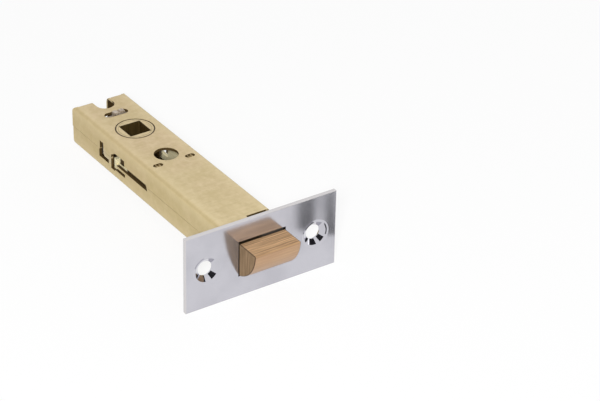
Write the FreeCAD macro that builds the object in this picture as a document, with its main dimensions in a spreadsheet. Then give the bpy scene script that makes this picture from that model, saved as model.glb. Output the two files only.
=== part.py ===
import FreeCAD, Part
import Sketcher
import math
import os

# Tubular door latch, in millimetres.
# The origin is the middle of the faceplate's front face. +X is the way the bolt points,
# Y runs along the long side of the faceplate and Z along the spindle.

doc = FreeCAD.newDocument("TubularLatch")

# Driving sizes

dims = doc.addObject("Spreadsheet::Sheet", "Dims")
SIZES = {
    # faceplate
    "plate_length": 57,
    "plate_height": 27.5,
    "plate_thickness": 1.5,
    "plate_edge": 0.2,
    "window_width": 17.9,
    "window_height": 12.9,
    "window_lift": 0.2,
    "screw_spacing": 41.1,
    "screw_hole": 5.2,
    "countersink_width": 9,
    "sink_slope": 50,
    "sink_rim_width": 10.4,
    "sink_rim_depth": 0.25,
    "sink_rim_slope": 66,
    "dimple_width": 11,
    "dimple_depth": 0.5,
    # case
    "case_depth": 104.3,
    "case_width": 20.6,
    "case_height": 14.8,
    "wall": 1,
    "corner_radius": 1.5,
    "seam_drop": 0.4,
    "seam_gap": 0.12,
    "fit_gap": 0.15,
    "running_gap": 0.3,
    "pin_gap": 0.04,
    "journal_gap": 0.08,
    # holes for the spindle and the two bolts that clamp the handles
    "backset": 79,
    "fixing_reach": 20.4,
    "fixing_hole": 8.4,
    "notch_reach": 20.5,
    "notch_width": 6.6,
    "tail_fold": 2.6,
    "tail_corner": 2.3,
    "tail_step": 0.4,
    "front_cutback": 11.1,
    "front_cutback_start": 1,
    "front_cutback_depth": 2.6,
    # openings in the side walls, measured forward and up from the spindle
    "window_rear": 1.2,
    "window_front": 10,
    "window_top": 2.5,
    "window_foot": 4.3,
    "window_slope": 2.7,
    "window_slope_drop": 1.6,
    "tongue_rear": 3.8,
    "tongue_top": 1.7,
    "tongue_foot": 2.5,
    "tongue_slit_front": 10.4,
    "tongue_slit_foot": 3.8,
    "long_slot_top": 0.4,
    "long_slot_front": 24.2,
    "long_slot_end": 25.1,
    "flap_slit": 1.45,
    "flap_slit_width": 2.4,
    "flap_slit_step": 0.45,
    "flap_rear": 6.4,
    "flap_corner": 0.8,
    "flap_front": 0.4,
    "flap_top": 2.8,
    "flap_foot": 3.4,
    # cross plates staked into the case
    "guide_reach": 53.5,
    "guide_thickness": 1.5,
    "guide_tab_place": 6.2,
    "guide_tab_width": 1.7,
    "guide_slot_width": 2.6,
    "guide_hole": 9.2,
    "tail_reach": 91.7,
    "tail_thickness": 2,
    "tail_tab_width": 4,
    "tail_tab_shift": 0.8,
    "tail_slot_width": 6.6,
    "tail_tab_rise": 0.7,
    "tab_recess": 0.15,
    "guide_slot_gap": 0.5,
    "tail_slot_gap": 1.2,
    "stake_width": 0.8,
    "stake_depth": 0.4,
    # follower
    "follower_width": 13.6,
    "waist_depth": 0.6,
    "waist_height": 5.2,
    "square_wall": 2.8,
    "square_corner": 0.4,
    "follower_edge": 0.35,
    "lobe_height": 4.2,
    "lobe_forward": 25,
    "lobe_spread": 30,
    "lobe_root": 4.5,
    "contact_gap": 0.2,
    # bolt
    "bolt_projection": 9.2,
    "bolt_room": 0.6,
    "bolt_height": 12,
    "bolt_drop": 0.1,
    "bolt_inside": 15,
    "bevel_radius": 13.1,
    "tip_flat": 0.6,
    "bolt_edge": 0.4,
    # stem
    "stem_width": 4,
    "stem_grip": 10,
    "stem_pin_width": 2,
    "stem_pin_place": 5,
    "washer_width": 8.4,
    "washer_thickness": 0.8,
    "head_width": 6.8,
    "head_thickness": 1.8,
    # retractor
    "yoke_reach": 34,
    "strip": 1.2,
    "strip_height": 9.2,
    "bend_radius": 1.6,
    "ear_length": 1.4,
    "ear_drop": 0.5,
    "arm_window": 5.5,
    # springs
    "return_wire": 1.2,
    "return_coil": 10.7,
    "return_turns": 4,
    "bolt_wire": 0.8,
    "bolt_coil": 7,
    "bolt_turns": 8,
}
for row, (alias, value) in enumerate(SIZES.items(), start=1):
    dims.set(f"A{row}", alias)
    dims.set(f"B{row}", str(value))
    dims.setAlias(f"B{row}", alias)

# Sizes that follow from the driving ones

WORKED_OUT = {
    "inner_width": "=case_width - 2 * wall",
    "inner_height": "=case_height - 2 * wall",
    "bolt_width": "=inner_width - 2 * bolt_room",
    "bolt_top": "=bolt_height / 2 - bolt_drop",
    "bolt_foot": "=-bolt_height / 2 - bolt_drop",
    "lobe_reach": "=inner_width / 2 - running_gap",
    "arm_outside": "=inner_width / 2 - fit_gap",
    "arm_inside": "=inner_width / 2 - fit_gap - strip",
    "waist_width": "=follower_width - 2 * waist_depth",
    "square": "=follower_width - 2 * square_wall",
    "ear_inside": "=waist_width / 2 + running_gap",
    "ear_reach": "=backset - ear_inside * tan(lobe_forward) + contact_gap",
    "seam": "=-seam_drop",
    "screw_sink": "=(countersink_width - screw_hole) / (2 * tan(sink_slope))",
    "washer_reach": "=yoke_reach + strip + pin_gap",
    "head_reach": "=yoke_reach + strip + pin_gap + washer_thickness",
}
for row, (alias, formula) in enumerate(WORKED_OUT.items(), start=len(SIZES) + 1):
    dims.set(f"A{row}", alias)
    dims.setAlias(f"B{row}", alias)
    dims.set(f"B{row}", formula)
doc.recompute()

# Helpers: sketches whose every point is bound to the sheet, and the features made from them

PLANES = {"XY": "XY_Plane", "XZ": "XZ_Plane", "YZ": "YZ_Plane"}


def bound(expression):
    """The expression with every alias written as a cell of the sheet."""
    words = []
    word = ""
    for letter in expression + " ":
        if letter.isalnum() or letter in "_.":
            word += letter
            continue
        words.append(f"Dims.{word}" if word in SIZES or word in WORKED_OUT else word)
        words.append(letter)
        word = ""
    return "".join(words).strip()


def value_of(expression):
    value = dims.evalExpression(bound(expression))
    return float(getattr(value, "Value", value))


def new_body(name):
    body = doc.addObject("PartDesign::Body", name)
    body.Label = name
    return body


def new_sketch(body, name, plane, offset="0"):
    """A sketch on one of the body's own origin planes, moved along its normal by offset."""
    sketch = body.newObject("Sketcher::SketchObject", name)
    support = [f for f in body.Origin.OriginFeatures if f.Role == PLANES[plane]][0]
    sketch.AttachmentSupport = [(support, "")]
    sketch.MapMode = "FlatFace"
    sketch.setExpression("AttachmentOffset.Base.z", bound(offset))
    return sketch


def pin_down(sketch, geometry, point, across, up):
    """Ties one point of the sketch to the origin by two bound distances."""
    for kind, expression in (("DistanceX", across), ("DistanceY", up)):
        value = value_of(expression)
        index = sketch.addConstraint(Sketcher.Constraint(kind, -1, 1, geometry, point, value))
        sketch.setExpression(f"Constraints[{index}]", bound(expression))


def outline(sketch, corners):
    """A closed outline of straight lines through the given corners."""
    spots = [FreeCAD.Vector(value_of(across), value_of(up), 0) for across, up in corners]
    first = sketch.GeometryCount
    for number, spot in enumerate(spots):
        following = spots[(number + 1) % len(spots)]
        sketch.addGeometry(Part.LineSegment(spot, following), False)
    for number, (across, up) in enumerate(corners):
        line = first + number
        following = first + (number + 1) % len(corners)
        sketch.addConstraint(Sketcher.Constraint("Coincident", line, 2, following, 1))
        pin_down(sketch, line, 1, across, up)


def rectangle(sketch, left, right, low, high):
    outline(sketch, [(left, low), (right, low), (right, high), (left, high)])


def circle(sketch, across, up, width):
    centre = FreeCAD.Vector(value_of(across), value_of(up), 0)
    number = sketch.addGeometry(Part.Circle(centre, FreeCAD.Vector(0, 0, 1), value_of(width) / 2), False)
    pin_down(sketch, number, 3, across, up)
    index = sketch.addConstraint(Sketcher.Constraint("Diameter", number, value_of(width)))
    sketch.setExpression(f"Constraints[{index}]", bound(width))


def rounded_slot(sketch, across, up, length, width):
    """A slot with round ends, its long way along the sketch's vertical."""
    reach = f"({length} - {width}) / 2"
    half = value_of(width) / 2
    middle = value_of(across)
    high = value_of(up) + value_of(reach)
    low = value_of(up) - value_of(reach)
    normal = FreeCAD.Vector(0, 0, 1)
    top_circle = Part.Circle(FreeCAD.Vector(middle, high, 0), normal, half)
    foot_circle = Part.Circle(FreeCAD.Vector(middle, low, 0), normal, half)
    top = sketch.addGeometry(Part.ArcOfCircle(top_circle, 0, math.pi), False)
    foot = sketch.addGeometry(Part.ArcOfCircle(foot_circle, math.pi, 2 * math.pi), False)
    left_low = FreeCAD.Vector(middle - half, low, 0)
    left_high = FreeCAD.Vector(middle - half, high, 0)
    right_low = FreeCAD.Vector(middle + half, low, 0)
    right_high = FreeCAD.Vector(middle + half, high, 0)
    left = sketch.addGeometry(Part.LineSegment(left_high, left_low), False)
    right = sketch.addGeometry(Part.LineSegment(right_low, right_high), False)
    sketch.addConstraint(Sketcher.Constraint("Tangent", top, 2, left, 1))
    sketch.addConstraint(Sketcher.Constraint("Tangent", left, 2, foot, 1))
    sketch.addConstraint(Sketcher.Constraint("Tangent", foot, 2, right, 1))
    sketch.addConstraint(Sketcher.Constraint("Tangent", right, 2, top, 1))
    sketch.addConstraint(Sketcher.Constraint("Equal", top, foot))
    pin_down(sketch, top, 3, across, f"{up} + {reach}")
    pin_down(sketch, foot, 3, across, f"{up} - {reach}")
    index = sketch.addConstraint(Sketcher.Constraint("Radius", top, half))
    sketch.setExpression(f"Constraints[{index}]", bound(f"({width}) / 2"))


def volume(body):
    doc.recompute()
    return body.Shape.Volume


def pad(body, name, sketch, length, midplane=False, back=False, taper=None):
    before = volume(body) if body.Tip and not body.Shape.isNull() else 0
    feature = body.newObject("PartDesign::Pad", name)
    feature.Profile = sketch
    feature.setExpression("Length", bound(length))
    feature.Midplane = midplane
    feature.Reversed = back
    if taper:
        feature.setExpression("TaperAngle", bound(taper))
    if volume(body) <= before:
        raise ValueError(f"{name} adds nothing to {body.Label}")
    return feature


def pocket(body, name, sketch, length=None, midplane=False, back=False, taper=None):
    """A cut against the sketch's normal, or right through where no length is given."""
    before = volume(body)
    feature = body.newObject("PartDesign::Pocket", name)
    feature.Profile = sketch
    feature.Midplane = midplane
    feature.Reversed = back
    if length is None:
        feature.Type = "ThroughAll"
    else:
        feature.setExpression("Length", bound(length))
    if taper:
        feature.setExpression("TaperAngle", bound(taper))
    if volume(body) >= before:
        raise ValueError(f"{name} cuts nothing from {body.Label}")
    return feature


def round_edges(body, name, radius, wanted):
    """Rounds the edges of the body whose middle point satisfies wanted."""
    doc.recompute()
    chosen = []
    for number, edge in enumerate(body.Shape.Edges, start=1):
        middle = edge.valueAt((edge.FirstParameter + edge.LastParameter) / 2)
        if wanted(edge, middle):
            chosen.append(f"Edge{number}")
    if not chosen:
        raise ValueError(f"{name} finds no edge on {body.Label}")
    base = body.Tip
    feature = body.newObject("PartDesign::Fillet", name)
    feature.Base = (base, chosen)
    feature.setExpression("Radius", bound(radius))
    doc.recompute()
    return feature


def straight_along(edge, axis):
    """Whether the edge is a straight line along axis 0, 1 or 2."""
    if edge.Curve.TypeId != "Part::GeomLine":
        return False
    return abs(abs(edge.Curve.Direction[axis]) - 1) < 1e-6


def near(one, other):
    return abs(one - other) < 0.01


def in_order(side, near_middle, outer):
    """The two heights with the lower one first, on the upper side (1) or the lower one (-1)."""
    return (near_middle, outer) if side > 0 else (outer, near_middle)


def finished(body):
    """The shape that is written, checked for being whole."""
    shape = body.Shape
    if shape.isNull() or not shape.isValid():
        raise ValueError(f"{body.Label} has no valid shape")
    return shape


# Faceplate: a flat steel plate with the bolt's window and two dimpled, countersunk screw holes

def make_faceplate():
    body = new_body("faceplate")
    plate = new_sketch(body, "PlateOutline", "YZ")
    rectangle(plate, "-plate_length / 2", "plate_length / 2", "-plate_height / 2", "plate_height / 2")
    pad(body, "Plate", plate, "plate_thickness", back=True)
    round_edges(body, "PlateEdges", "plate_edge", lambda edge, middle: near(middle.x, 0))

    dimples = new_sketch(body, "DimpleRings", "YZ", "-plate_thickness")
    circle(dimples, "screw_spacing / 2", "0", "dimple_width")
    circle(dimples, "-screw_spacing / 2", "0", "dimple_width")
    pad(body, "Dimples", dimples, "dimple_depth", back=True, taper="-45")

    window = new_sketch(body, "WindowOutline", "YZ")
    foot = "window_lift - window_height / 2"
    rectangle(window, "-window_width / 2", "window_width / 2", foot, "window_lift + window_height / 2")
    pocket(body, "Window", window, midplane=True)

    sinks = new_sketch(body, "SinkRings", "YZ")
    circle(sinks, "screw_spacing / 2", "0", "countersink_width")
    circle(sinks, "-screw_spacing / 2", "0", "countersink_width")
    pocket(body, "Countersinks", sinks, "screw_sink", taper="-sink_slope")

    rims = new_sketch(body, "SinkRimRings", "YZ")
    circle(rims, "screw_spacing / 2", "0", "sink_rim_width")
    circle(rims, "-screw_spacing / 2", "0", "sink_rim_width")
    pocket(body, "SinkRims", rims, "sink_rim_depth", taper="-sink_rim_slope")

    holes = new_sketch(body, "HoleRings", "YZ")
    circle(holes, "screw_spacing / 2", "0", "screw_hole")
    circle(holes, "-screw_spacing / 2", "0", "screw_hole")
    pocket(body, "ScrewHoles", holes, midplane=True)
    return body


# Case: two folded steel channels that meet along a seam below the middle of the side walls.
# Both are pierced for the follower, the clamping bolts and the tabs of the cross plates.

def window_corners():
    """The stepped window with its long slot, from its rear foot round anticlockwise."""
    return [
        ("window_rear - backset", "-window_foot"),
        ("tongue_rear - backset", "-window_foot"),
        ("tongue_rear - backset", "-tongue_slit_foot"),
        ("tongue_slit_front - backset", "-tongue_slit_foot"),
        ("tongue_slit_front - backset", "-tongue_foot"),
        ("tongue_rear + wall - backset", "-tongue_foot"),
        ("tongue_rear + wall - backset", "-tongue_top"),
        ("long_slot_end - backset", "-tongue_top"),
        ("long_slot_front - backset", "long_slot_top"),
        ("window_front - backset", "long_slot_top"),
        ("window_front - backset", "window_top"),
        ("window_rear + window_slope - backset", "window_top"),
        ("window_rear - backset", "window_top - window_slope_drop"),
    ]


def flap_slit_corners():
    """The L-shaped slit behind the window, wider below the seam, which leaves a flap of wall."""
    return [
        ("-flap_rear - flap_slit_step - backset", "-flap_foot"),
        ("-flap_front - backset", "-flap_foot"),
        ("-flap_front - backset", "flap_slit - flap_foot"),
        ("flap_slit_width - flap_rear + flap_corner - backset", "flap_slit - flap_foot"),
        ("flap_slit_width - flap_rear - backset", "flap_slit - flap_foot + flap_corner"),
        ("flap_slit_width - flap_rear - backset", "flap_top"),
        ("-flap_rear - backset", "flap_top"),
        ("-flap_rear - backset", "seam"),
        ("-flap_rear - flap_slit_step - backset", "seam"),
    ]


def fold_outline(sketch, side, rear, front, foot, sheet, radius):
    """A block whose rear corner at the sheet is rounded, as a fold's outside or inside is."""
    turn = f"{rear} + {radius}"
    drop = f"{sheet} - {side} * ({radius})"
    places = [(front, sheet), (turn, sheet), (rear, drop), (rear, foot), (front, foot)]
    points = [FreeCAD.Vector(value_of(across), value_of(up), 0) for across, up in places]
    lines = {}
    for first in (0, 2, 3, 4):
        last = (first + 1) % 5
        lines[first] = sketch.addGeometry(Part.LineSegment(points[first], points[last]), False)
        pin_down(sketch, lines[first], 1, *places[first])
    pin_down(sketch, lines[0], 2, *places[1])
    for first, last in ((2, 3), (3, 4), (4, 0)):
        sketch.addConstraint(Sketcher.Constraint("Coincident", lines[first], 2, lines[last], 1))
    middle = FreeCAD.Vector(points[1].x, points[2].y, 0)
    circle_line = Part.Circle(middle, FreeCAD.Vector(0, 0, 1), value_of(radius))
    quarter = (math.pi / 2, math.pi) if side > 0 else (math.pi, 1.5 * math.pi)
    arc = sketch.addGeometry(Part.ArcOfCircle(circle_line, *quarter), False)
    at_sheet, at_rear = (1, 2) if side > 0 else (2, 1)
    sketch.addConstraint(Sketcher.Constraint("Coincident", arc, at_sheet, lines[0], 2))
    sketch.addConstraint(Sketcher.Constraint("Coincident", arc, at_rear, lines[2], 1))
    index = sketch.addConstraint(Sketcher.Constraint("Radius", arc, value_of(radius)))
    sketch.setExpression(f"Constraints[{index}]", bound(radius))


def corner_outline(sketch, side, rear, sheet, radius):
    """What is trimmed off a square corner at the sheet's rear end to round it."""
    turn = f"{rear} + {radius}"
    drop = f"{sheet} - {side} * {radius}"
    beyond = f"{sheet} + {side} * wall"
    past = f"{rear} - wall"
    places = [(turn, sheet), (turn, beyond), (past, beyond), (past, drop), (rear, drop)]
    points = [FreeCAD.Vector(value_of(across), value_of(up), 0) for across, up in places]
    first = sketch.GeometryCount
    for number in range(4):
        sketch.addGeometry(Part.LineSegment(points[number], points[number + 1]), False)
    for number in range(4):
        pin_down(sketch, first + number, 1, *places[number])
    pin_down(sketch, first + 3, 2, *places[4])
    for number in range(3):
        line = first + number
        sketch.addConstraint(Sketcher.Constraint("Coincident", line, 2, line + 1, 1))
    middle = FreeCAD.Vector(points[0].x, points[4].y, 0)
    quarter = (math.pi / 2, math.pi) if side > 0 else (math.pi, 1.5 * math.pi)
    circle_line = Part.Circle(middle, FreeCAD.Vector(0, 0, 1), value_of(radius))
    arc = sketch.addGeometry(Part.ArcOfCircle(circle_line, *quarter), False)
    at_sheet, at_rear = (1, 2) if side > 0 else (2, 1)
    sketch.addConstraint(Sketcher.Constraint("Coincident", arc, at_sheet, first, 1))
    sketch.addConstraint(Sketcher.Constraint("Coincident", arc, at_rear, first + 3, 2))
    index = sketch.addConstraint(Sketcher.Constraint("Radius", arc, value_of(radius)))
    sketch.setExpression(f"Constraints[{index}]", bound(radius))


def make_tail_flap(body, side, depth, edge, sheet, inner):
    """The end of the sheet, cut free of the side walls and folded down over the open tail."""
    width = "case_width - 2 * corner_radius"
    rear = f"-({depth})"
    front = f"{rear} + tail_fold + wall"
    rise = f"{sheet} + {side} * wall"

    corners = new_sketch(body, "TailCorners", "XZ")
    corner_outline(corners, side, rear, sheet, "tail_corner")
    pocket(body, "RoundedCorners", corners, "case_width + 2 * wall", midplane=True)

    relief = new_sketch(body, "TailRelief", "XZ")
    rectangle(relief, f"{rear} - wall", front, *in_order(side, inner, rise))
    pocket(body, "Relief", relief, width, midplane=True)

    block = new_sketch(body, "TailBlock", "XZ")
    fold_outline(block, side, rear, front, edge, sheet, "tail_fold")
    pad(body, "Flap", block, width, midplane=True)

    hollow = new_sketch(body, "TailHollow", "XZ")
    fold_outline(hollow, side, f"{rear} + wall", front, edge, inner, "tail_fold - wall")
    pocket(body, "FlapInside", hollow, width, midplane=True)


def make_case_shell(name, side):
    """One channel: side is 1 for the upper one and -1 for the lower one."""
    body = new_body(name)
    edge = f"seam + {side} * seam_gap / 2"
    sheet = f"{side} * case_height / 2"
    inner = f"{side} * inner_height / 2"
    channel = new_sketch(body, "Channel", "YZ", "-plate_thickness")
    outline(channel, [
        ("-case_width / 2", edge),
        ("-case_width / 2", sheet),
        ("case_width / 2", sheet),
        ("case_width / 2", edge),
        ("inner_width / 2", edge),
        ("inner_width / 2", inner),
        ("-inner_width / 2", inner),
        ("-inner_width / 2", edge),
    ])
    depth = "case_depth" if side > 0 else "case_depth - tail_step"
    pad(body, "Folded", channel, f"{depth} - plate_thickness", back=True)

    def fold(edge, middle, width, height):
        lengthwise = straight_along(edge, 0)
        return lengthwise and near(abs(middle.y), width / 2) and near(abs(middle.z), height / 2)

    outside = (value_of("case_width"), value_of("case_height"))
    inside = (value_of("inner_width"), value_of("inner_height"))
    round_edges(body, "OuterFolds", "corner_radius", lambda e, m: fold(e, m, *outside))
    round_edges(body, "InnerFolds", "corner_radius - wall", lambda e, m: fold(e, m, *inside))

    make_tail_flap(body, side, depth, edge, sheet, inner)

    holes = new_sketch(body, "RoundHoles", "XY", sheet)
    circle(holes, "-backset", "0", "follower_width + 2 * journal_gap")
    circle(holes, "fixing_reach - backset", "0", "fixing_hole")
    circle(holes, "-notch_reach - backset", "0", "notch_width")
    pocket(body, "Holes", holes, "inner_height / 2", back=side < 0)

    way = new_sketch(body, "NotchWay", "XY", sheet)
    rectangle(way, "-case_depth - wall", "-notch_reach - backset", "-notch_width / 2", "notch_width / 2")
    pocket(body, "Notch", way, "case_height", back=side < 0)

    slots = new_sketch(body, "TabSlots", "XY", sheet)
    guide_slot = "guide_thickness + guide_slot_gap"
    rounded_slot(slots, "-guide_reach", "guide_tab_place", "guide_slot_width", guide_slot)
    rounded_slot(slots, "-guide_reach", "-guide_tab_place", "guide_slot_width", guide_slot)
    rounded_slot(slots, "-tail_reach", "0", "tail_slot_width", "tail_thickness + tail_slot_gap")
    pocket(body, "Slots", slots, "inner_height / 2", back=side < 0)

    cutback = new_sketch(body, "CutbackOutline", "XY", sheet)
    start = f"{side} * front_cutback_start"
    beyond = f"{side} * (case_width / 2 + wall)"
    low, high = (start, beyond) if side > 0 else (beyond, start)
    rectangle(cutback, "-front_cutback", "0", low, high)
    pocket(body, "Cutback", cutback, "front_cutback_depth", back=side < 0)

    openings = new_sketch(body, "SideOpenings", "XZ")
    outline(openings, window_corners())
    outline(openings, flap_slit_corners())
    pocket(body, "Openings", openings, midplane=True)
    return body


# Cross plates: they tie the two channels together, with tabs staked through slots in the sheet.
# The front one carries the return spring and lets the stem's head through.

def stake_marks(sketch, place, tip):
    """The punch's marks in the ends of the upper and lower tab at the place given."""
    low, high = f"{place} - stake_width / 2", f"{place} + stake_width / 2"
    rectangle(sketch, low, high, f"{tip} - stake_depth", f"{tip} + wall")
    rectangle(sketch, low, high, f"-({tip}) - wall", f"stake_depth - ({tip})")


def make_guide_plate():
    body = new_body("guide_plate")
    plate = new_sketch(body, "Outline", "YZ", "-guide_reach")
    side = "arm_inside - fit_gap"
    step = "strip_height / 2 + fit_gap"
    shoulder = "inner_height / 2 - pin_gap"
    tip = "case_height / 2 - tab_recess"
    tab_in = "guide_tab_place - guide_tab_width / 2"
    tab_out = "guide_tab_place + guide_tab_width / 2"
    upper = [(side, step), (tab_out, step), (tab_out, tip), (tab_in, tip), (tab_in, shoulder)]
    corners = list(upper)
    corners += [(f"-({across})", up) for across, up in reversed(upper)]
    corners += [(f"-({across})", f"-({up})") for across, up in upper]
    corners += [(across, f"-({up})") for across, up in reversed(upper)]
    outline(plate, corners)
    circle(plate, "0", "0", "guide_hole")
    pad(body, "Plate", plate, "guide_thickness", midplane=True)
    stakes = new_sketch(body, "StakeMarks", "YZ", "-guide_reach")
    for place in ("guide_tab_place", "-guide_tab_place"):
        stake_marks(stakes, place, tip)
    pocket(body, "Stakes", stakes, midplane=True)
    return body


def make_tail_plate():
    body = new_body("tail_plate")
    plate = new_sketch(body, "Outline", "YZ", "-tail_reach")
    side = "case_width / 2 - corner_radius - fit_gap"
    shoulder = "inner_height / 2 - pin_gap"
    tip = "case_height / 2 + tail_tab_rise"
    left = "tail_tab_shift - tail_tab_width / 2"
    right = "tail_tab_shift + tail_tab_width / 2"
    upper = [(side, shoulder), (right, shoulder), (right, tip), (left, tip), (left, shoulder),
             (f"-({side})", shoulder)]
    outline(plate, upper + [(across, f"-({up})") for across, up in reversed(upper)])
    pad(body, "Plate", plate, "tail_thickness", midplane=True)
    stakes = new_sketch(body, "StakeMarks", "YZ", "-tail_reach")
    stake_marks(stakes, "tail_tab_shift", tip)
    pocket(body, "Stakes", stakes, midplane=True)
    return body


# Follower: turned journals in the case's two holes, a narrower waist between them, two lobes
# that reach forward to the retractor's ears, and the square hole for the spindle

def lobe(sketch, side):
    """A wedge from the follower's middle out to the lobe's round end, on the side given."""
    reach = value_of("lobe_reach")
    rear = math.radians(90 - value_of("lobe_forward"))
    front = math.radians(90 - value_of("lobe_forward") - value_of("lobe_spread"))
    middle = FreeCAD.Vector(-value_of("backset"), 0, 0)
    low, high = (front, rear) if side > 0 else (-rear, -front)
    swing = Part.Circle(middle, FreeCAD.Vector(0, 0, 1), reach)
    end = sketch.addGeometry(Part.ArcOfCircle(swing, low, high), False)
    flanks = []
    for angle in (low, high):
        direction = FreeCAD.Vector(math.cos(angle), math.sin(angle), 0)
        root = middle + direction * value_of("lobe_root")
        flanks.append(sketch.addGeometry(Part.LineSegment(root, middle + direction * reach), False))
    first, second = flanks
    closing = sketch.addGeometry(Part.LineSegment(
        sketch.Geometry[first].StartPoint, sketch.Geometry[second].StartPoint), False)
    pin_down(sketch, end, 3, "-backset", "0")
    index = sketch.addConstraint(Sketcher.Constraint("Radius", end, reach))
    sketch.setExpression(f"Constraints[{index}]", bound("lobe_reach"))
    for flank, point in ((first, 1), (second, 2)):
        sketch.addConstraint(Sketcher.Constraint("Coincident", flank, 2, end, point))
        sketch.addConstraint(Sketcher.Constraint("Coincident", flank, 1, closing, point))
    rear_angle = "lobe_forward"
    front_angle = "lobe_forward + lobe_spread"
    angles = (front_angle, rear_angle) if side > 0 else (rear_angle, front_angle)
    for flank, angle in zip(flanks, angles):
        across = f"lobe_root * sin({angle}) - backset"
        up = f"{side} * lobe_root * cos({angle})"
        pin_down(sketch, flank, 1, across, up)
        tip = f"{side} * lobe_reach * cos({angle})"
        index = sketch.addConstraint(Sketcher.Constraint("DistanceY", -1, 1, flank, 2, value_of(tip)))
        sketch.setExpression(f"Constraints[{index}]", bound(tip))


def make_follower():
    body = new_body("follower")
    journal = new_sketch(body, "JournalRing", "XY")
    circle(journal, "-backset", "0", "follower_width")
    pad(body, "Journals", journal, "case_height", midplane=True)

    ring = new_sketch(body, "WaistRing", "XY")
    circle(ring, "-backset", "0", "follower_width + 2 * wall")
    circle(ring, "-backset", "0", "waist_width")
    pocket(body, "Waist", ring, "waist_height", midplane=True)

    lobes = new_sketch(body, "LobeOutlines", "XY")
    lobe(lobes, 1)
    lobe(lobes, -1)
    pad(body, "Lobes", lobes, "lobe_height", midplane=True)

    square = new_sketch(body, "SquareOutline", "XY")
    rectangle(square, "-backset - square / 2", "square / 2 - backset", "-square / 2", "square / 2")
    pocket(body, "Square", square, midplane=True)

    half = value_of("square") / 2
    round_edges(body, "SquareCorners", "square_corner",
                lambda edge, middle: straight_along(edge, 2) and near(abs(middle.y), half))
    rim = value_of("case_height") / 2
    width = value_of("follower_width") / 2
    round_edges(body, "JournalEdges", "follower_edge",
                lambda edge, middle: near(abs(middle.z), rim)
                and near(math.hypot(middle.x + value_of("backset"), middle.y), width))
    return body


# Latch bolt: cast brass, flat above, with a curved bevel below its nose. The stem is pinned in
# a bore in its rear face.

def make_latch_bolt():
    body = new_body("latch_bolt")
    section = new_sketch(body, "Section", "XZ")
    nose = value_of("bolt_projection")
    top = value_of("bolt_top")
    foot = value_of("bolt_foot")
    rear = -value_of("bolt_inside")
    flat = value_of("bolt_top - tip_flat")
    radius = value_of("bevel_radius")
    chord = FreeCAD.Vector(nose, flat, 0) - FreeCAD.Vector(0, foot, 0)
    inward = FreeCAD.Vector(-chord.y, chord.x, 0).normalize()
    sag = math.sqrt(radius ** 2 - (chord.Length / 2) ** 2)
    centre = FreeCAD.Vector(nose / 2, (flat + foot) / 2, 0) + inward * sag
    start = math.atan2(foot - centre.y, -centre.x)
    end = math.atan2(flat - centre.y, nose - centre.x)
    bevel = section.addGeometry(Part.ArcOfCircle(
        Part.Circle(centre, FreeCAD.Vector(0, 0, 1), radius), start, end), False)
    spots = [(nose, flat), (nose, top), (rear, top), (rear, foot), (0, foot)]
    sides = []
    for here, there in zip(spots, spots[1:]):
        line = Part.LineSegment(FreeCAD.Vector(*here, 0), FreeCAD.Vector(*there, 0))
        sides.append(section.addGeometry(line, False))
    section.addConstraint(Sketcher.Constraint("Coincident", bevel, 2, sides[0], 1))
    for line, following in zip(sides, sides[1:]):
        section.addConstraint(Sketcher.Constraint("Coincident", line, 2, following, 1))
    section.addConstraint(Sketcher.Constraint("Coincident", sides[-1], 2, bevel, 1))
    pin_down(section, sides[0], 1, "bolt_projection", "bolt_top - tip_flat")
    pin_down(section, sides[1], 1, "bolt_projection", "bolt_top")
    pin_down(section, sides[2], 1, "-bolt_inside", "bolt_top")
    pin_down(section, sides[3], 1, "-bolt_inside", "bolt_foot")
    pin_down(section, bevel, 1, "0", "bolt_foot")
    index = section.addConstraint(Sketcher.Constraint("Radius", bevel, radius))
    section.setExpression(f"Constraints[{index}]", bound("bevel_radius"))
    pad(body, "Bolt", section, "bolt_width", midplane=True)

    side = value_of("bolt_width") / 2
    round_edges(body, "BoltEdges", "bolt_edge",
                lambda edge, middle: near(abs(middle.y), side)
                or (straight_along(edge, 1) and near(middle.x, nose) and near(middle.z, top)))

    bore = new_sketch(body, "BoreRing", "YZ", "-bolt_inside")
    circle(bore, "0", "0", "stem_width + 2 * pin_gap")
    pocket(body, "StemBore", bore, "stem_grip + pin_gap", back=True)

    pin_hole = new_sketch(body, "PinRing", "XY")
    circle(pin_hole, "stem_pin_place - bolt_inside", "0", "stem_pin_width + 2 * pin_gap")
    pocket(body, "PinHole", pin_hole, midplane=True)
    return body


# Stem: a turned rod, pinned in the bolt, with a flat head that pulls the washer and the yoke

def make_bolt_stem():
    body = new_body("bolt_stem")
    rod = new_sketch(body, "RodRing", "YZ", "stem_grip - bolt_inside")
    circle(rod, "0", "0", "stem_width")
    pad(body, "Rod", rod, "head_reach + pin_gap + stem_grip - bolt_inside", back=True)

    head = new_sketch(body, "HeadRing", "YZ", "-head_reach - pin_gap")
    circle(head, "0", "0", "head_width")
    pad(body, "Head", head, "head_thickness", back=True)
    head_rear = -value_of("head_reach + pin_gap + head_thickness")
    round_edges(body, "HeadEdge", "head_thickness / 3", lambda edge, middle: near(middle.x, head_rear))

    pin_hole = new_sketch(body, "PinRing", "XY")
    circle(pin_hole, "stem_pin_place - bolt_inside", "0", "stem_pin_width + 2 * pin_gap")
    pocket(body, "PinHole", pin_hole, midplane=True)
    return body


def make_stem_pin():
    body = new_body("stem_pin")
    ring = new_sketch(body, "PinRing", "XY", "-bolt_drop")
    circle(ring, "stem_pin_place - bolt_inside", "0", "stem_pin_width")
    pad(body, "Pin", ring, "bolt_height - 2 * fit_gap", midplane=True)
    return body


def make_stem_washer():
    body = new_body("stem_washer")
    ring = new_sketch(body, "Rings", "YZ", "-washer_reach")
    circle(ring, "0", "0", "washer_width")
    circle(ring, "0", "0", "stem_width + 2 * journal_gap")
    pad(body, "Washer", ring, "washer_thickness", back=True)
    return body


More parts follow.
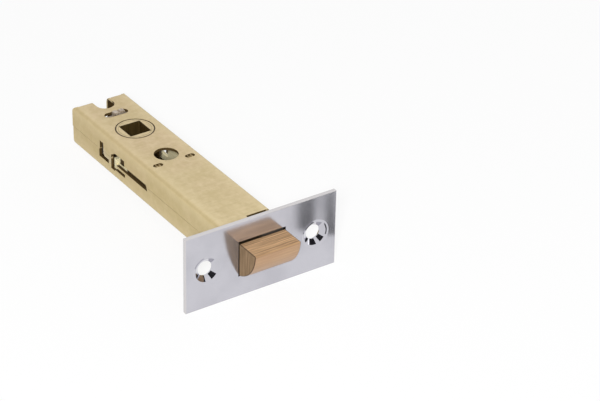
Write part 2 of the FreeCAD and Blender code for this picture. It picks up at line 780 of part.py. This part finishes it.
# Retractor: a folded strip. Its yoke holds the stem, its two arms run back along the side walls
# past the clamping bolt. The arms' ends are cut down to let the lobes through, and an ear is
# turned in from each end behind a lobe of the follower.

def make_retractor():
    body = new_body("retractor")
    strip = new_sketch(body, "Strip", "XY")
    ear_rear = "-ear_reach - ear_length"
    half = [
        ("-yoke_reach", "arm_outside"),
        (ear_rear, "arm_outside"),
        (ear_rear, "ear_inside"),
        ("-ear_reach", "ear_inside"),
        ("-ear_reach", "arm_inside"),
        ("-yoke_reach - strip", "arm_inside"),
    ]
    outline(strip, half + [(across, f"-({up})") for across, up in reversed(half)])
    pad(body, "Folded", strip, "strip_height", midplane=True)

    yoke_front = -value_of("yoke_reach")
    yoke_rear = -value_of("yoke_reach + strip")
    outside = value_of("arm_outside")
    inside = value_of("arm_inside")

    def corner(edge, middle, across, up):
        return straight_along(edge, 2) and near(middle.x, across) and near(abs(middle.y), up)

    round_edges(body, "OuterBends", "bend_radius", lambda e, m: corner(e, m, yoke_front, outside))
    round_edges(body, "InnerBends", "bend_radius - strip", lambda e, m: corner(e, m, yoke_rear, inside))

    ear_trim = new_sketch(body, "EarTrim", "XZ")
    rear = "-ear_reach - ear_length - wall"
    ear_half = "waist_height / 2 - running_gap"
    rectangle(ear_trim, rear, "-ear_reach", ear_half, "strip_height")
    rectangle(ear_trim, rear, "-ear_reach", "-strip_height", f"-({ear_half})")
    pocket(body, "EarTrimming", ear_trim, "2 * (arm_inside - pin_gap)", midplane=True)

    cutaway = new_sketch(body, "ArmCutaway", "XZ")
    lobe_room = "lobe_height / 2 + running_gap"
    outline(cutaway, [
        (rear, "-ear_drop"),
        ("-ear_reach", "-ear_drop"),
        ("-ear_reach", f"-({lobe_room})"),
        ("arm_window - ear_reach", f"-({lobe_room})"),
        ("arm_window - ear_reach", "strip_height"),
        (rear, "strip_height"),
    ])
    pocket(body, "LobeRoom", cutaway, midplane=True)

    hole = new_sketch(body, "StemRing", "YZ", "-yoke_reach - strip / 2")
    circle(hole, "0", "0", "stem_width + 2 * journal_gap")
    pocket(body, "StemHole", hole, midplane=True)
    return body


# Springs: round wire wound about the stem's line. The heavy one returns the retractor and the
# handle, the light one pushes out the bolt.

def make_spring(name, rear, front, wire, coil, turns):
    """Half turns, each in its own tilted plane, with a closed turn at either end."""
    thick = value_of(wire)
    radius = value_of(coil) / 2
    gap = value_of("pin_gap")
    length = value_of(front) - value_of(rear) - thick - 2 * gap
    closed = (thick + gap) / 2
    rise = (length - 4 * closed) / (2 * value_of(turns))
    rises = [closed] * 2 + [rise] * (2 * int(value_of(turns))) + [closed] * 2
    place = value_of(rear) + thick / 2 + gap
    across = 1
    halves = []
    for step in rises:
        reach = math.hypot(radius, step / 2)
        outward = FreeCAD.Vector(-step / 2, 0, across * radius)
        sideways = FreeCAD.Vector(0, across, 0)
        half = Part.makeTorus(reach, thick / 2, FreeCAD.Vector(), FreeCAD.Vector(0, 0, 1), -180, 180, 180)
        turned = FreeCAD.Rotation(outward, sideways, outward.cross(sideways), "XYZ")
        half.Placement = FreeCAD.Placement(FreeCAD.Vector(place + step / 2, 0, 0), turned)
        halves.append(half)
        place += step
        across = -across
    feature = doc.addObject("Part::Feature", name)
    feature.Label = name
    feature.Shape = halves[0].multiFuse(halves[1:])
    return feature


pieces = [
    make_faceplate(),
    make_case_shell("case_upper", 1),
    make_case_shell("case_lower", -1),
    make_guide_plate(),
    make_tail_plate(),
    make_follower(),
    make_latch_bolt(),
    make_bolt_stem(),
    make_stem_pin(),
    make_stem_washer(),
    make_retractor(),
    make_spring("return_spring", "guide_thickness / 2 - guide_reach", "-yoke_reach - strip",
                "return_wire", "return_coil", "return_turns"),
    make_spring("bolt_spring", "-yoke_reach", "-bolt_inside", "bolt_wire", "bolt_coil", "bolt_turns"),
]
doc.recompute()

for item in doc.Objects:
    if "Invalid" in item.State or "Error" in item.State:
        raise ValueError(f"{item.Label} failed: {item.State}")

os.makedirs("parts", exist_ok=True)
for piece in pieces:
    finished(piece).exportStep(f"parts/{piece.Label}.step")
    box = piece.Shape.BoundBox
    print(f"{piece.Label}: {piece.Shape.Volume:.1f} mm3, {len(piece.Shape.Solids)} solid, "
          f"x {box.XMin:.2f} {box.XMax:.2f}, y {box.YMin:.2f} {box.YMax:.2f}, "
          f"z {box.ZMin:.2f} {box.ZMax:.2f}")
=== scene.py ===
import bpy
import math
from mathutils import Matrix, Vector


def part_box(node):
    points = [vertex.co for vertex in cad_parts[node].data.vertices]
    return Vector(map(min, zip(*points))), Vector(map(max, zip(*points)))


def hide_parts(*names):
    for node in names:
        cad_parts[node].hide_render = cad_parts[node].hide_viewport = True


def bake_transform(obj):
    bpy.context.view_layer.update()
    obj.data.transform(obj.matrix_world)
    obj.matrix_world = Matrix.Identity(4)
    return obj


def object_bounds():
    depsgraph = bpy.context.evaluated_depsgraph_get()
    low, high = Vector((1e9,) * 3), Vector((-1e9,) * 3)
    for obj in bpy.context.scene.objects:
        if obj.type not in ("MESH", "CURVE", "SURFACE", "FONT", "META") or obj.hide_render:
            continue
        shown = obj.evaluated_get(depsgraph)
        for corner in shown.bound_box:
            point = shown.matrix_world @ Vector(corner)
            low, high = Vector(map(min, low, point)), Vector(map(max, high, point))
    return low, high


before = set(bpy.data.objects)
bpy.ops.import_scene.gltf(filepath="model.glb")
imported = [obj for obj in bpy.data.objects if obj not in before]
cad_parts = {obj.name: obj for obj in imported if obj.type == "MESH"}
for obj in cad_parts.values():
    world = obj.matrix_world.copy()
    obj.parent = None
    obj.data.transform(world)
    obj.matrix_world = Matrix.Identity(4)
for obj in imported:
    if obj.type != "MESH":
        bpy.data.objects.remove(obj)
cad_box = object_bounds()
bpy.ops.object.select_all(action="DESELECT")

# Case channels
# Two channels folded from 1 mm steel strip, pierced before folding and closed on each other.
# They are zinc plated and yellow passivated, which leaves a soft, cloudy straw colour with a
# pink or a green cast here and there. The pierced edges and the inside are duller, and are painted
# dark brown as shade. The straw is painted lighter towards the faceplate and darker on the sides,
# with a painted highlight beside the fold and painted shade on the fold itself.


class Shade:
    """One socket of a finish. Sums and products of shades and numbers add Math nodes."""

    def __init__(self, finish, socket):
        self.finish = finish
        self.socket = socket

    def maths(self, operation, first, second=0.0):
        return self.finish.node("ShaderNodeMath", {"operation": operation}, {0: first, 1: second})

    def __add__(self, other):
        return self.maths("ADD", self, other)

    def __radd__(self, other):
        return self.maths("ADD", other, self)

    def __sub__(self, other):
        return self.maths("SUBTRACT", self, other)

    def __rsub__(self, other):
        return self.maths("SUBTRACT", other, self)

    def __mul__(self, other):
        return self.maths("MULTIPLY", self, other)

    def __rmul__(self, other):
        return self.maths("MULTIPLY", other, self)

    def __abs__(self):
        return self.maths("ABSOLUTE", self)

    def root(self):
        return self.maths("SQRT", self)

    def least(self, other):
        return self.maths("MINIMUM", self, other)

    def most(self, other):
        return self.maths("MAXIMUM", self, other)

    def past(self, start, end):
        """0 at start and 1 at end, in a straight line between them and level beyond."""
        return self.finish.node("ShaderNodeMapRange", {"clamp": True}, {
            "Value": self, "From Min": start, "From Max": end})


class Finish:
    """The nodes of one material, or of the world."""

    def __init__(self, holder):
        self.holder = holder
        holder.use_nodes = True
        self.tree = holder.node_tree
        self.tree.nodes.clear()

    def node(self, kind, settings=None, sockets=None, output=0):
        """Adds a node: its settings first, then the value or the shade of each socket."""
        node = self.tree.nodes.new(kind)
        for name, value in (settings or {}).items():
            setattr(node, name, value)
        for name, value in (sockets or {}).items():
            if isinstance(value, Shade):
                self.tree.links.new(value.socket, node.inputs[name])
            else:
                node.inputs[name].default_value = value
        return Shade(self, node.outputs[output])

    def along(self, axis):
        """How far along one axis the place on the piece lies, in millimetres."""
        place = self.node("ShaderNodeTexCoord", output="Object")
        return 1000 * self.node("ShaderNodeSeparateXYZ", None, {"Vector": place}, output=axis)

    def facing(self, axis):
        """How far the surface faces along one axis, either way."""
        normal = self.node("ShaderNodeTexCoord", output="Normal")
        return abs(self.node("ShaderNodeSeparateXYZ", None, {"Vector": normal}, output=axis))

    def noise(self, scale, stretch=(1, 1, 1), detail=3.0):
        """Cloudy noise. The stretch is how fine it is along each axis."""
        place = self.node("ShaderNodeTexCoord", output="Object")
        place = self.node("ShaderNodeMapping", None, {"Vector": place, "Scale": stretch})
        return self.node("ShaderNodeTexNoise", None, {
            "Vector": place, "Scale": scale, "Detail": detail, "Roughness": 0.55})

    def blend(self, share, first, second):
        """The second colour over the first, as far as the share goes."""
        return self.node("ShaderNodeMix", {"data_type": "RGBA"}, {0: share, 6: first, 7: second}, output=2)

    def dented(self, height, depth):
        """The surface's normal under a relief of the given depth in metres."""
        return self.node("ShaderNodeBump", None, {"Height": height, "Distance": depth, "Strength": 1.0})

    def cover(self, nodes, colour, metal, roughness, normal):
        """Closes the finish with its shader and puts it on the CAD nodes."""
        shader = self.node("ShaderNodeBsdfPrincipled", None, {
            "Base Color": colour, "Metallic": metal, "Roughness": roughness, "Normal": normal}, output="BSDF")
        self.close(shader)
        for name in nodes:
            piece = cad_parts[name]
            piece.data.materials.clear()
            piece.data.materials.append(self.holder)

    def close(self, shader):
        """Joins the shader to the output."""
        of_world = isinstance(self.holder, bpy.types.World)
        output = self.tree.nodes.new("ShaderNodeOutputWorld" if of_world else "ShaderNodeOutputMaterial")
        self.tree.links.new(shader.socket, output.inputs["Surface"])


def tint(red, green, blue):
    """A colour as it looks on screen, 0 to 255, as the renderer takes it."""
    def linear(level):
        share = level / 255
        return share / 12.92 if share <= 0.04045 else ((share + 0.055) / 1.055) ** 2.4
    return (linear(red), linear(green), linear(blue), 1)


case_depth = 104.3
case_half_width = 10.3
case_half_height = 7.4
sheet = 1.0
fold_room = 1.6
seam_level = -0.4
spindle_line = -79.0
rubbed_level = -0.9

passivated = Finish(bpy.data.materials.new("yellow_passivated_steel"))
forward = passivated.along("X")
from_tail = forward + case_depth
below_top = case_half_height - abs(passivated.along("Z"))
below_side = case_half_width - abs(passivated.along("Y"))
from_seam = abs(passivated.along("Z") - seam_level)
inside = (below_top.least(below_side).past(0.72 * sheet, 0.95 * sheet)
          * from_tail.past(0.55 * sheet, 0.85 * sheet))
top_edge = (below_top.past(1.04 * sheet, 1.01 * sheet) * below_side.past(fold_room, fold_room + 0.1)
            * passivated.facing("Z").past(0.6, 0.4))
side_edge = (below_side.past(1.04 * sheet, 1.01 * sheet) * below_top.past(fold_room, fold_room + 0.1)
             * passivated.facing("Y").past(0.6, 0.4) * from_seam.past(0.2, 0.4))
pierced = (top_edge + side_edge).least(1.0) * from_tail.past(3.8, 4.8)

clouds = passivated.noise(95, detail=4.0)
casts = passivated.noise(38, detail=2.0)
grain = passivated.noise(1100)
rolled = passivated.noise(1, (70, 1300, 1300))
brushed = passivated.noise(1, (1100, 90, 1100))
mottle = passivated.noise(430)
pale = clouds.past(0.38, 0.66)
pink = casts.past(0.42, 0.62)
painted_light_near_plate = forward.past(-62.0, -8.0)
by_spindle = (forward - spindle_line).past(-5.2, -4.0) * (forward - spindle_line).past(2.0, 0.8)
rubbed = (by_spindle * below_side.past(0.5, 0.2)
          * abs(passivated.along("Z") - rubbed_level).past(2.2, 1.2) * clouds.past(0.3, 0.5))

# Painted light: the straw is painted lighter towards the faceplate.
straw_and_painted_light = passivated.blend(painted_light_near_plate, tint(204, 185, 142), tint(213, 194, 151))
straw_and_painted_light = passivated.blend(0.6 * pink, straw_and_painted_light, tint(210, 185, 150))
straw_and_painted_light = passivated.blend(0.5 * pale, straw_and_painted_light, tint(199, 180, 136))
straw_and_painted_light = passivated.blend(0.4 * grain.past(0.45, 0.75), straw_and_painted_light, tint(217, 199, 156))
straw_and_painted_light = passivated.blend(0.15 * rolled.past(0.5, 0.8), straw_and_painted_light, tint(184, 166, 124))
straw_and_painted_light = passivated.blend(0.35 * brushed.past(0.48, 0.75), straw_and_painted_light, tint(186, 167, 122))
straw_and_painted_light = passivated.blend(0.45 * mottle.past(0.48, 0.72), straw_and_painted_light, tint(192, 172, 124))
straw_and_painted_light = passivated.blend(0.35 * mottle.past(0.48, 0.3), straw_and_painted_light, tint(224, 206, 166))
straw_and_painted_light = passivated.blend(0.75 * rubbed, straw_and_painted_light, tint(206, 198, 182))
# Painted light and shade: the sides are painted darker, a band beside the fold is painted lighter as a soft
# highlight, and the fold itself is painted darker to tone down its highlight.
fold_painted_shade = passivated.facing("Z").past(0.97, 0.8) * passivated.facing("Y").past(0.97, 0.8)
fold_painted_highlight = below_side.most(below_top).past(5.0, 1.6) * (1 - fold_painted_shade)
straw_and_painted_light = passivated.blend(0.4 * passivated.facing("Y"), straw_and_painted_light, tint(192, 171, 112))
straw_and_painted_light = passivated.blend(0.3 * fold_painted_highlight, straw_and_painted_light, tint(230, 212, 168))
straw_and_painted_light = passivated.blend(0.25 * fold_painted_shade, straw_and_painted_light, tint(186, 167, 124))
# Painted shade: the pierced edges and the inside of the case are painted dark brown.
case_painted_light_and_shade = passivated.blend(pierced, straw_and_painted_light, tint(88, 68, 30))
case_painted_light_and_shade = passivated.blend(inside, case_painted_light_and_shade, tint(72, 52, 16))
passivated.cover(
    ["case_upper", "case_lower"], colour=case_painted_light_and_shade, metal=0.35 - 0.35 * inside,
    roughness=0.46 + 0.08 * pale + 0.06 * grain + 0.2 * pierced.most(inside),
    normal=passivated.dented(0.6 * clouds + 0.4 * grain, 0.00005))

# Cross plates
# Two blanked steel plates that tie the channels together. Their tabs come through slots in the
# sheet and are staked over with a punch. The front one is passivated with the case, the tail
# one keeps the grey of its bruised zinc.

guide_finish = Finish(bpy.data.materials.new("passivated_cross_plate"))
peened = guide_finish.noise(1500)
stained = guide_finish.noise(500)
guide_colour = guide_finish.blend(stained.past(0.4, 0.65), tint(186, 164, 120), tint(120, 98, 58))
guide_finish.cover(
    ["guide_plate"], colour=guide_colour, metal=0.4, roughness=0.4 + 0.2 * peened,
    normal=guide_finish.dented(peened, 0.00012))

tail_finish = Finish(bpy.data.materials.new("bruised_zinc"))
hammered = tail_finish.noise(1300)
smears = tail_finish.noise(1, (300, 1500, 1500))
tail_colour = tail_finish.blend(smears.past(0.4, 0.68), tint(196, 184, 168), tint(146, 128, 110))
tail_finish.cover(
    ["tail_plate"], colour=tail_colour, metal=0.5, roughness=0.36 + 0.2 * hammered,
    normal=tail_finish.dented(hammered, 0.00012))

# Follower
# Cast in zinc alloy, turned at both ends to run in the case, and plated with it. The square is
# broached, which leaves fine lines down its walls, and its walls are painted dark brown as shade.
# Painted shade also darkens the follower from just inside each journal's edge outwards.

journal_radius = 6.8
groove_radius = 5.75
square_half = 4.0

casting = Finish(bpy.data.materials.new("plated_casting"))
from_spindle = casting.along("X") - spindle_line
across = casting.along("Y")
radius = (from_spindle * from_spindle + across * across).root()
# Painted shade: from just inside each journal's edge outwards, the follower is painted dark brown.
rim_and_flank_shade = radius.past(journal_radius - 0.52, journal_radius - 0.3)
broached = abs(from_spindle).most(abs(across)).past(square_half + 0.12, square_half + 0.02)
cast_skin = casting.noise(700, detail=4.0)
strokes = casting.noise(1, (2600, 2600, 90))
plated_and_painted_shade = casting.blend(cast_skin.past(0.38, 0.66), tint(214, 194, 150), tint(196, 178, 138))
# Painted shade: the walls of the square are painted dark brown, with the broaching lines kept.
square_wall_shade = casting.blend(strokes.past(0.35, 0.7), tint(84, 66, 30), tint(58, 44, 18))
groove = abs(radius - groove_radius).past(0.16, 0.04)
plated_and_painted_shade = casting.blend(0.55 * groove, plated_and_painted_shade, tint(112, 90, 50))
plated_and_painted_shade = casting.blend(rim_and_flank_shade, plated_and_painted_shade, tint(64, 47, 18))
casting.cover(
    ["follower"], colour=casting.blend(broached, plated_and_painted_shade, square_wall_shade), metal=0.35,
    roughness=0.42 + 0.12 * cast_skin,
    normal=casting.dented(0.6 * cast_skin + 0.4 * broached * strokes, 0.00005))

# Retractor
# A folded strip of cold-rolled steel, plated pale. Its arms slide on the side walls, and their
# outer faces forward of the windows are painted dark brown as shade.

arm_half_width = 9.15
arms_end = -69.0

strip_steel = Finish(bpy.data.materials.new("pale_plated_strip"))
rolling_lines = strip_steel.noise(1, (80, 1600, 1600))
dulled = strip_steel.noise(300)
# Painted shade: the arms' outer faces forward of the windows are painted dark brown.
arm_face_shade = (abs(strip_steel.along("Y")).past(arm_half_width - 0.13, arm_half_width - 0.05)
           * strip_steel.along("X").past(arms_end - 0.5, arms_end + 0.5))
strip_colour = strip_steel.blend(rolling_lines.past(0.42, 0.68), tint(255, 245, 204), tint(242, 227, 180))
strip_colour = strip_steel.blend(arm_face_shade, strip_colour, tint(62, 46, 18))
strip_steel.cover(
    ["retractor"], colour=strip_colour, metal=0.05, roughness=0.4 + 0.16 * dulled,
    normal=strip_steel.dented(rolling_lines, 0.00003))

# Springs
# Two compression springs of drawn spring wire about the stem's line, oiled and dark. Each is
# held between two pieces that slide towards each other. Each is drawn as a smooth-shaded copy of
# its CAD mesh with the doubled points merged, in place of the CAD node.

wire = Finish(bpy.data.materials.new("spring_wire"))
drawn = wire.noise(1500, detail=2.0)
wire.cover(
    ["return_spring", "bolt_spring"],
    colour=wire.blend(drawn, tint(120, 118, 116), tint(84, 82, 80)), metal=0.95,
    roughness=0.28 + 0.15 * drawn, normal=wire.dented(drawn, 0.00002))

for name, behind, ahead in (
        ("return_spring", "case", "retractor"),
        ("bolt_spring", "retractor", "bolt")):
    coil = bpy.data.objects.new(f"{name}_coil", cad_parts[name].data.copy())
    bpy.context.scene.collection.objects.link(coil)
    coil.select_set(True)
    bpy.context.view_layer.objects.active = coil
    bpy.ops.object.mode_set(mode="EDIT")
    bpy.ops.mesh.select_all(action="SELECT")
    bpy.ops.mesh.remove_doubles(threshold=0.000001)
    bpy.ops.object.mode_set(mode="OBJECT")
    bpy.ops.object.shade_smooth_by_angle(angle=math.radians(40))
    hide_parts(name)
    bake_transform(coil)
    coil.select_set(False)

# Latch bolt
# Cut from a drawn brass bar. The flat and the bevel are linished across, so fine lines run from
# end to end of them. The sawn ends are duller, with lines that run up and down, and a dark line
# is painted along their rounded edges. The top flat is painted lighter as a sheen, and the part
# that stays in the plate's window is painted dark as shade.

bolt_half_width = 8.7
bolt_top = 5.9

brass = Finish(bpy.data.materials.new("linished_brass"))
proud = brass.along("X")
end_face = abs(brass.along("Y")).past(bolt_half_width - 0.24, bolt_half_width - 0.06)
window_gap_shade = proud.past(0.42, 0.25)
fine_lines = brass.noise(1, (2600, 80, 2600), detail=4.0)
broad_lines = brass.noise(1, (620, 30, 620), detail=3.0)
upright_lines = brass.noise(1, (2400, 2400, 120))
patches = brass.noise(1, (260, 60, 260))
# Painted highlight: the top flat is painted lighter, as a sheen.
top_sheen = brass.along("Z").past(bolt_top - 0.4, bolt_top - 0.1)
linished_and_top_sheen = brass.blend(top_sheen, tint(193, 156, 122), tint(246, 203, 152))
linished_and_top_sheen = brass.blend((0.35 + 0.55 * top_sheen) * fine_lines.past(0.34, 0.68), linished_and_top_sheen, tint(150, 114, 82))
linished_and_top_sheen = brass.blend(0.6 * broad_lines.past(0.5, 0.75), linished_and_top_sheen, tint(146, 112, 78))
linished_and_top_sheen = brass.blend(0.4 * patches.past(0.45, 0.75), linished_and_top_sheen, tint(206, 172, 134))
sawn = brass.blend(upright_lines.past(0.35, 0.7), tint(156, 129, 97), tint(118, 95, 66))
brass_colour = brass.blend(end_face, linished_and_top_sheen, sawn)
# A dark line is painted along the rounded edges of the ends.
dark_end_edge_line = abs(abs(brass.along("Y")) - bolt_half_width + 0.17).past(0.16, 0.07)
brass_colour = brass.blend(0.9 * dark_end_edge_line, brass_colour, tint(60, 44, 32))
# Painted shade: the part in and behind the plate's window is painted dark.
brass_colour = brass.blend(window_gap_shade, brass_colour, tint(60, 48, 34))
brass.cover(
    ["latch_bolt"], colour=brass_colour, metal=0.6 - 0.3 * end_face,
    roughness=0.36 + 0.3 * end_face + 0.1 * fine_lines,
    normal=brass.dented((1 - end_face) * fine_lines + end_face * upright_lines, 0.00005))

# Stem, its pin and its washer
# The stem and the pin are turned from bright steel rod, the washer is a blanked one.

turned = Finish(bpy.data.materials.new("turned_steel"))
turning_lines = turned.noise(1, (3000, 200, 200), detail=2.0)
turned.cover(
    ["bolt_stem", "stem_pin", "stem_washer"],
    colour=turned.blend(turning_lines, tint(196, 194, 190), tint(164, 162, 158)), metal=0.95,
    roughness=0.22 + 0.16 * turning_lines, normal=turned.dented(turning_lines, 0.00002))

# Faceplate
# Blanked from steel strip, dimpled and countersunk for its screws, polished and chrome plated.
# The rim is painted lighter as a highlight, and the window's walls are painted dark as shade.

plate_half_length = 28.5
plate_half_height = 13.75
window_half_width = 8.95
window_half_height = 6.8
screw_place = 20.55
sink_radius = 5.2

chrome = Finish(bpy.data.materials.new("polished_chrome"))
from_middle = abs(chrome.along("Y"))
from_level = abs(chrome.along("Z"))
polish = chrome.noise(1, (700, 700, 60))
beside_screw = from_middle - screw_place
from_screw = (beside_screw * beside_screw + from_level * from_level).root()
in_sink = from_screw.past(sink_radius + 0.05, sink_radius - 0.05)
swirls = chrome.noise(60)
# Painted highlight: the rim is painted lighter.
rim_highlight = from_level.past(plate_half_height - 0.22, plate_half_height - 0.1).most(
    from_middle.past(plate_half_length - 0.22, plate_half_length - 0.1))
# Painted shade: the window's walls are painted dark.
window_wall_shade = (from_middle.past(window_half_width + 0.03, window_half_width)
             * from_level.past(window_half_height + 0.1, window_half_height)
             * chrome.along("X").past(-0.05, -0.15))
chrome_and_painted_light = chrome.blend(swirls.past(0.4, 0.65), tint(199, 198, 205), tint(190, 189, 196))
chrome_and_painted_light = chrome.blend(rim_highlight, chrome_and_painted_light, tint(208, 205, 206))
chrome_and_painted_light = chrome.blend(window_wall_shade, chrome_and_painted_light, tint(50, 38, 38))
chrome.cover(
    ["faceplate"], colour=chrome_and_painted_light, metal=0.88 + 0.1 * in_sink,
    roughness=(0.13 + 0.07 * polish) * (1 - 0.75 * in_sink), normal=chrome.dented(swirls, 0.00002))

# Floor
# A white sheet. The latch rests on the lower edge of its faceplate and on the tail plate's tab.
# To the camera most of its white is its own, so that the shadow stays faint, and it throws
# less light back on the latch than it shows.


def seen(finish, *rays):
    """1 for the kinds of ray named, 0 for the others."""
    total = 0
    for ray in rays:
        total = total + finish.node("ShaderNodeLightPath", output=f"Is {ray} Ray")
    return total.least(1.0)


floor_size = 4.0
plate_low, plate_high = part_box("faceplate")
tail_low, tail_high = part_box("tail_plate")
rest_front = Vector((plate_high.x, 0, plate_low.z))
slope = math.atan2(tail_low.z - plate_low.z, plate_high.x - tail_low.x)
bpy.ops.mesh.primitive_plane_add(size=floor_size, location=rest_front, rotation=(0, slope, 0))
floor = bpy.context.object
floor.name = "floor"

white = Finish(bpy.data.materials.new("white_sheet"))
paper_shade = white.blend(seen(white, "Camera"), (0.65, 0.65, 0.65, 1), (0.95, 0.95, 0.95, 1))
paper = white.node("ShaderNodeBsdfDiffuse", None, {"Color": paper_shade}, output="BSDF")
glow = white.node("ShaderNodeEmission", None, {"Color": (1, 1, 1, 1), "Strength": 1.0})
share = (0.85 * seen(white, "Camera") + seen(white, "Glossy", "Transmission")).least(1.0)
white.close(white.node("ShaderNodeMixShader", None, {0: share, 1: paper, 2: glow}))
floor.data.materials.append(white.holder)

# Light
# A white room that is brighter to the eye and to polished metal than as a light, a large soft
# lamp on the far side of the latch, and a small one by the camera that looks into the holes.

room = Finish(bpy.data.worlds.new("studio"))
bpy.context.scene.world = room.holder
strength = 0.4 + 0.6 * seen(room, "Camera", "Glossy", "Transmission")
room.close(room.node("ShaderNodeBackground", None, {"Color": (1, 1, 1, 1), "Strength": strength}))

middle = (cad_box[0] + cad_box[1]) / 2


def face_latch(thing):
    """Turns a lamp or a card so that its front looks at the middle of the latch."""
    thing.rotation_mode = "QUATERNION"
    thing.rotation_quaternion = (middle - thing.location).to_track_quat("-Z", "Y")


for name, place, size, power in (
        ("far_lamp", (0.0, 0.75, 0.45), 0.9, 2.0),
        ("front_lamp", (0.62, -0.44, 0.46), 0.12, 6.3)):
    light = bpy.data.lights.new(name, "AREA")
    light.size = size
    light.energy = power
    lamp = bpy.data.objects.new(name, light)
    lamp.location = middle + Vector(place)
    face_latch(lamp)
    bpy.context.scene.collection.objects.link(lamp)

# Camera
# It stands in front of the faceplate, to the side and above, and was set by the corners of the
# faceplate, the case's edges and the round holes.

azimuth, elevation, roll = (math.radians(angle) for angle in (55.19, 31.09, 1.41))
focal_pixels = 2325.7
frame_pixels = 600
aim = Vector((0.02045, 0, 0.02961))
distance = 0.71088
back = Vector((
    math.sin(azimuth) * math.cos(elevation),
    -math.cos(azimuth) * math.cos(elevation),
    math.sin(elevation)))
level = Vector((math.cos(azimuth), math.sin(azimuth), 0))
upright = back.cross(level)
right = level * math.cos(roll) + upright * math.sin(roll)
up = upright * math.cos(roll) - level * math.sin(roll)
lens = bpy.data.cameras.new("camera")
lens.sensor_width = 36
lens.lens = focal_pixels / frame_pixels * lens.sensor_width
lens.clip_start = 0.01
lens.clip_end = 20
camera = bpy.data.objects.new("camera", lens)
turn = Matrix((right, up, back)).transposed().to_4x4()
camera.matrix_world = Matrix.Translation(aim + back * distance) @ turn
bpy.context.scene.collection.objects.link(camera)
bpy.context.scene.camera = camera
bpy.context.scene.view_settings.view_transform = "Standard"

# Black cards
# Felt on card, which only polished metal sees. The countersinks mirror the one behind the camera
# and the one to the right, and two slips on the floor, laid as the camera's sight runs on from
# the plate, leave the upright dark streaks in the chrome.

slip_level = -0.0138
felt = Finish(bpy.data.materials.new("black_felt"))
felt.close(felt.node("ShaderNodeBsdfDiffuse", None, {"Color": tint(14, 14, 22)}, output="BSDF"))
cards = []
for name, size, place in (
        ("card_behind_camera", 0.8, aim + back * 0.95),
        ("card_to_the_right", 0.088, Vector((0.063, 0.098, 0.063)))):
    bpy.ops.mesh.primitive_plane_add(size=size, location=place)
    cards.append(bpy.context.object)
    cards[-1].name = name
    face_latch(cards[-1])
for name, length, width, place in (
        ("slip_by_the_screw", 0.030, 0.0058, (0.0335, 0.0402, slip_level)),
        ("slip_by_the_edge", 0.036, 0.0036, (0.0297, 0.0476, slip_level))):
    bpy.ops.mesh.primitive_plane_add(size=1, location=place, rotation=(0, 0, math.atan2(-back.y, back.x)))
    cards.append(bpy.context.object)
    cards[-1].name = name
    cards[-1].scale = (length, width, 1)
for card in cards:
    card.visible_camera = False
    card.visible_diffuse = False
    card.visible_shadow = False
    card.data.materials.append(felt.holder)

bpy.context.view_layer.update()
